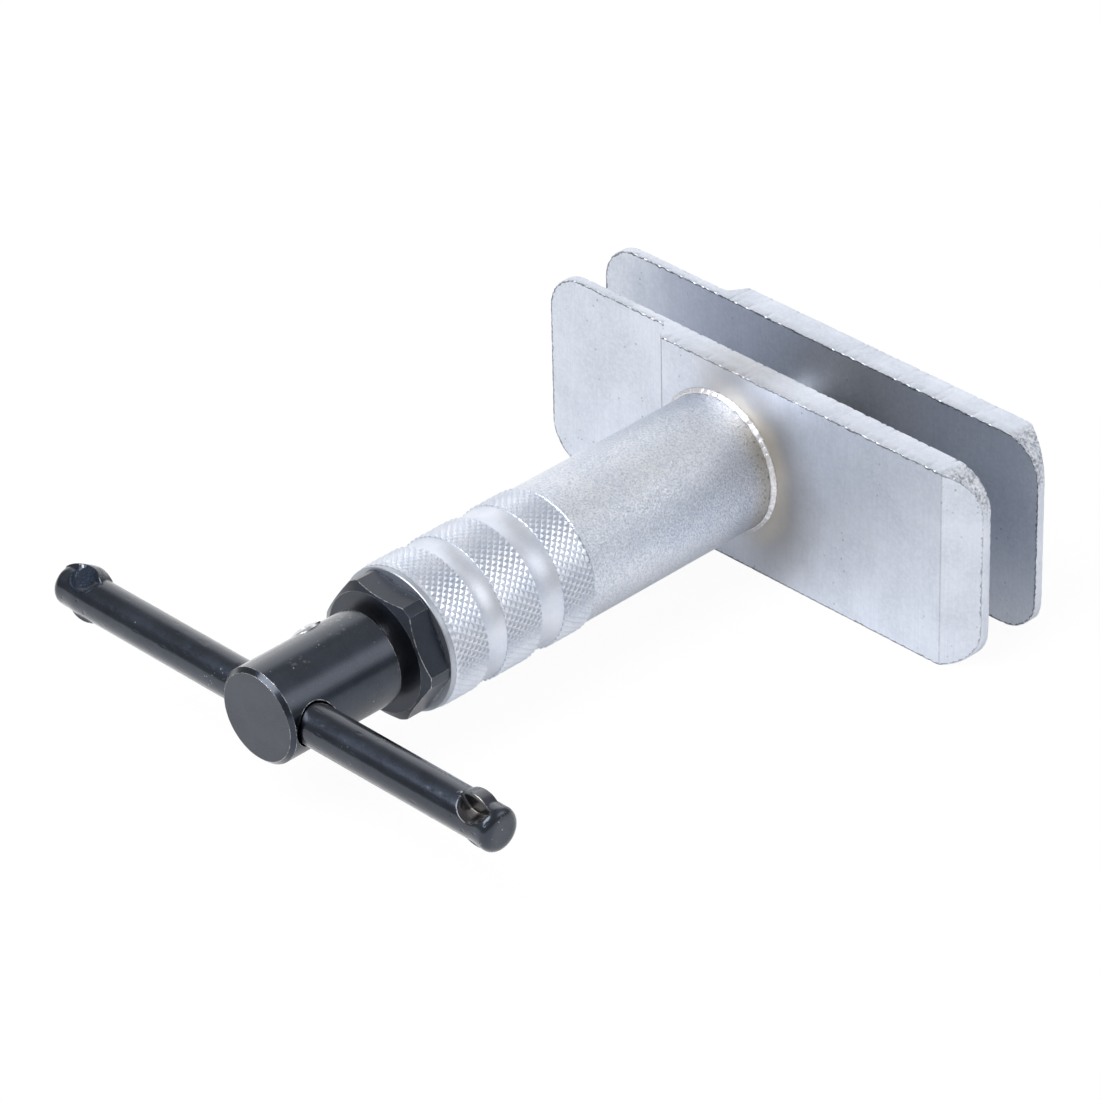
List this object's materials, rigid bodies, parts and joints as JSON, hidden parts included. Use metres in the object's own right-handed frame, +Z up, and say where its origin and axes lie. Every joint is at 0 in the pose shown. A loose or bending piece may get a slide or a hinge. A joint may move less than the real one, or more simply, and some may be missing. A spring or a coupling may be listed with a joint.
{
  "type": "brake caliper piston tool",
  "caption": "Hand screw press with two stepped steel plates, a knurled round body and a sliding T-bar, which spreads the plates to push caliper pistons back.",
  "frame": {"origin": "on the tool's axis, in the movable plate's pressing face", "axes": "+Y along the tool's axis, the way the movable plate presses; +X along the plates, towards their bevelled ends; +Z up, across the plates"},
  "size_m": [0.1461, 0.1726, 0.0505],
  "materials": {
    "plate_steel": "brushed",
    "body_steel": "blasted satin",
    "bright_steel": "ground",
    "black_steel": "black oxide",
    "bronze": "turned",
    "seal_rubber": "matte"
  },
  "bodies": {
    "housing": {"fixed_plate": "plate_steel", "weld_bead": "bright_steel", "barrel": "body_steel", "grip_sleeve": "body_steel", "gland_nut": "black_steel", "gland_bush": "bronze", "gland_seal": "seal_rubber", "guide_bush": "bronze", "guide_key": "bright_steel", "rod_wiper": "seal_rubber", "collar_washer": "bronze", "retaining_ring": "black_steel", "thrust_race_rear": "bright_steel"},
    "roller_set": {"roller_cage": "bronze", "thrust_rollers": "bright_steel"},
    "screw": {"spindle": "bright_steel", "thrust_race_front": "bright_steel", "drive_head": "black_steel", "head_screw": "bright_steel"},
    "ram": {"spindle_nut": "bronze", "nut_pins": "bright_steel", "push_rod": "bright_steel", "movable_plate": "plate_steel", "plate_screw": "black_steel", "plate_dowels": "bright_steel"},
    "handle": {"t_bar": "black_steel"}
  },
  "joints": [
    {"name": "spindle_turn", "type": "hinge", "parent": "housing", "child": "screw", "pos_m": [0, -0.1, 0], "axis": [0, 1, 0], "range_deg": [-1824, 3576]},
    {"name": "plate_slide", "type": "slide", "parent": "housing", "child": "ram", "axis": [0, 1, 0], "range_m": [-0.0152, 0.0298]},
    {"name": "cage_turn", "type": "hinge", "parent": "housing", "child": "roller_set", "pos_m": [0, -0.1178, 0], "axis": [0, 1, 0], "range_deg": [-912, 1788]},
    {"name": "bar_slide", "type": "slide", "parent": "screw", "child": "handle", "axis": [1, 0, 0], "range_m": [-0.044, 0.045]}
  ],
  "couplings": [
    {"joint": "plate_slide", "follows": "spindle_turn", "m_per_rad": 0.00047746},
    {"joint": "cage_turn", "follows": "spindle_turn", "ratio": 0.5}
  ]
}
